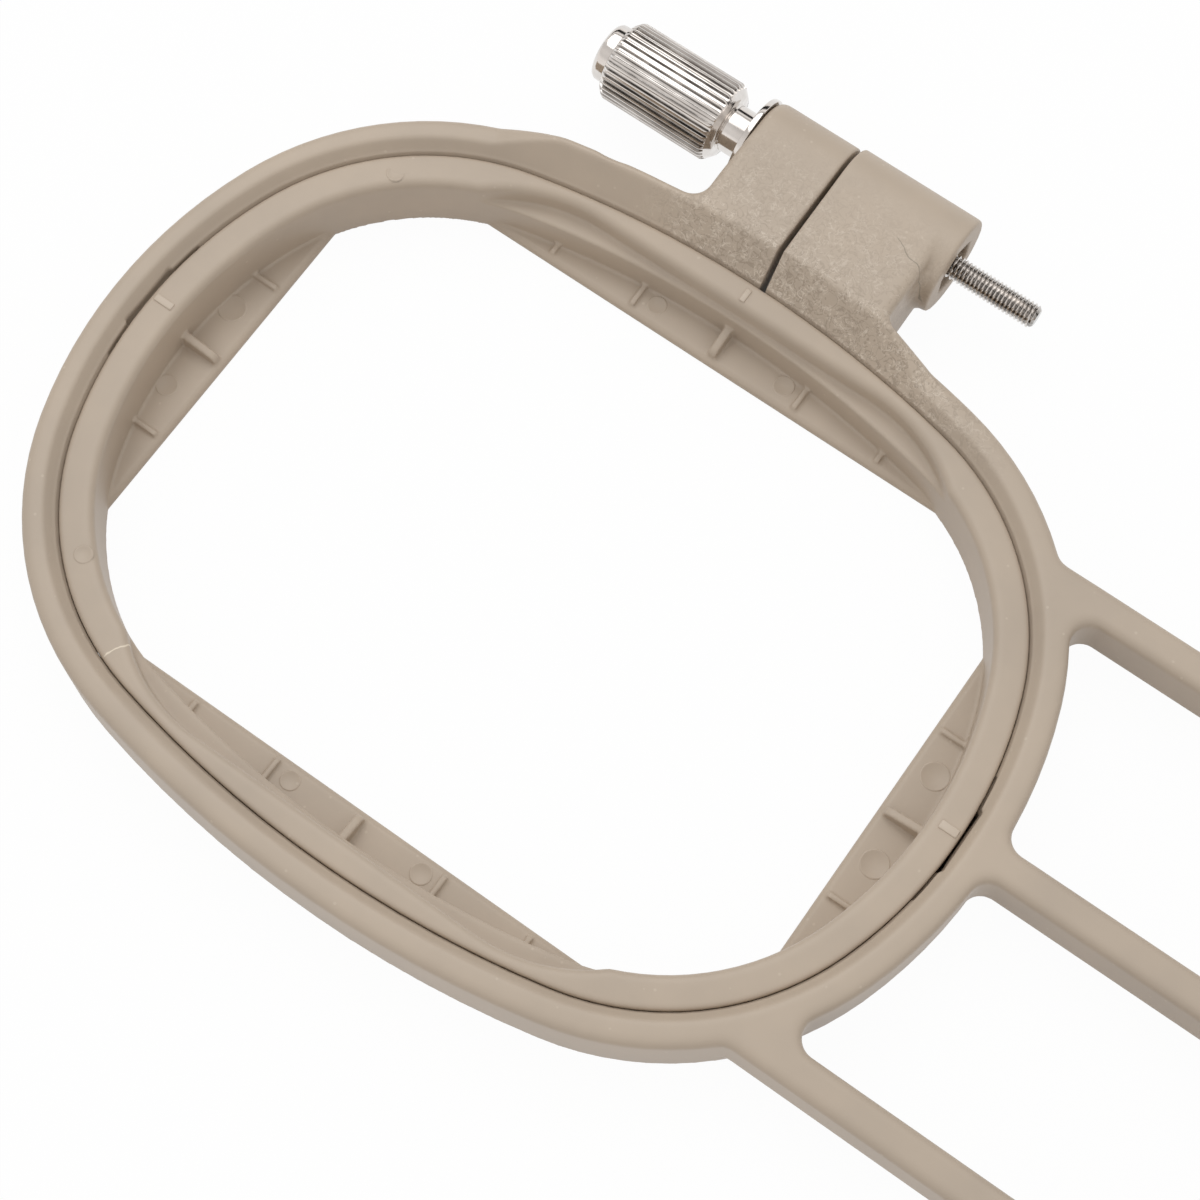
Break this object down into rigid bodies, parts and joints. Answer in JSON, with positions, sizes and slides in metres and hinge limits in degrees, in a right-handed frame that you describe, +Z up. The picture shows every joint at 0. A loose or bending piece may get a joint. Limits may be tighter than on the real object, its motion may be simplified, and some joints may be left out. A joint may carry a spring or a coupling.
{
  "type": "embroidery hoop",
  "caption": "Oval machine embroidery hoop: split outer frame on a carriage bar, drop-in inner frame and thumb-screw clamp.",
  "frame": {"origin": "middle of the stitching field, on the face that lies on the machine's bed", "axes": "+X along the hoop towards the machine's carriage, +Y towards the clamp, +Z up"},
  "size_m": [0.1726, 0.1119, 0.0127],
  "materials": {
    "frame_plastic": "fine satin moulded plastic, warm grey beige",
    "bright_plating": "bright nickel plating over turned metal"
  },
  "bodies": {
    "hoop": {"outer_frame": "frame_plastic", "nut": "bright_plating"},
    "inner": {"inner_frame": "frame_plastic"},
    "washer": {"washer": "bright_plating"},
    "thumb_screw": {"knob": "bright_plating", "screw": "bright_plating"}
  },
  "joints": [
    {"name": "inner_lift", "type": "slide", "parent": "hoop", "child": "inner", "axis": [0, 0, 1], "range_m": [0, 0.015]},
    {"name": "screw_travel", "type": "slide", "parent": "hoop", "child": "washer", "axis": [-1, 0, 0], "range_m": [0, 0.0041]},
    {"name": "screw_turn", "type": "hinge", "parent": "washer", "child": "thumb_screw", "pos_m": [-0.0206, 0.05505, 0.0069], "axis": [-1, 0, 0], "range_deg": [0, 2880]}
  ],
  "couplings": [
    {"joint": "screw_travel", "follows": "screw_turn", "m_per_rad": 0.000079577}
  ]
}
